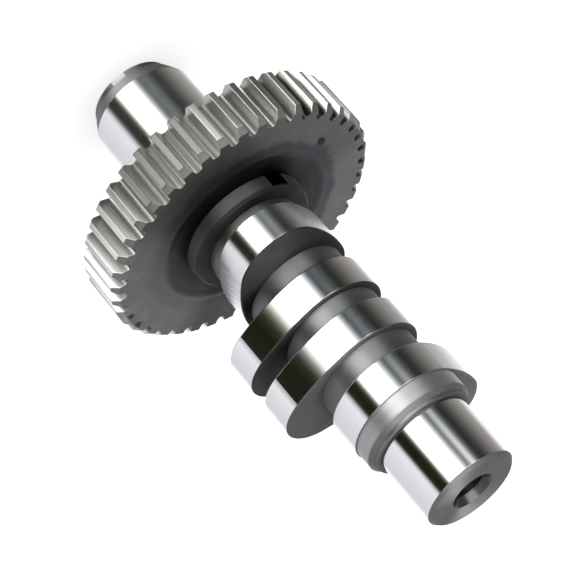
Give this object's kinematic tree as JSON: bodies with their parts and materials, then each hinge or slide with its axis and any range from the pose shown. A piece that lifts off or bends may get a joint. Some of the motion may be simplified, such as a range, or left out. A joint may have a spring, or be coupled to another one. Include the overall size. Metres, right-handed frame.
{
  "type": "camshaft",
  "caption": "Steel engine camshaft: a ground shaft with cams between two bearing journals, and a keyed spur gear pressed on beside its shoulder.",
  "frame": {"origin": "centre of the slotted end face, on the shaft's axis, where the part stands", "axes": "+Z along the shaft, from the slotted end to the inner journal; Y along the end slot; the key lies 38.25 degrees from +X towards +Y"},
  "size_m": [0.0698, 0.0698, 0.1286],
  "materials": {
    "shaft_steel": "ground and polished on the journals and cams, matte as turned on the core and collar",
    "gear_steel": "dark satin faces, bright hobbed teeth",
    "key_steel": "drawn key stock"
  },
  "bodies": {
    "root": {"camshaft": "shaft_steel", "cam_gear": "gear_steel", "gear_key": "key_steel"}
  },
  "joints": []
}
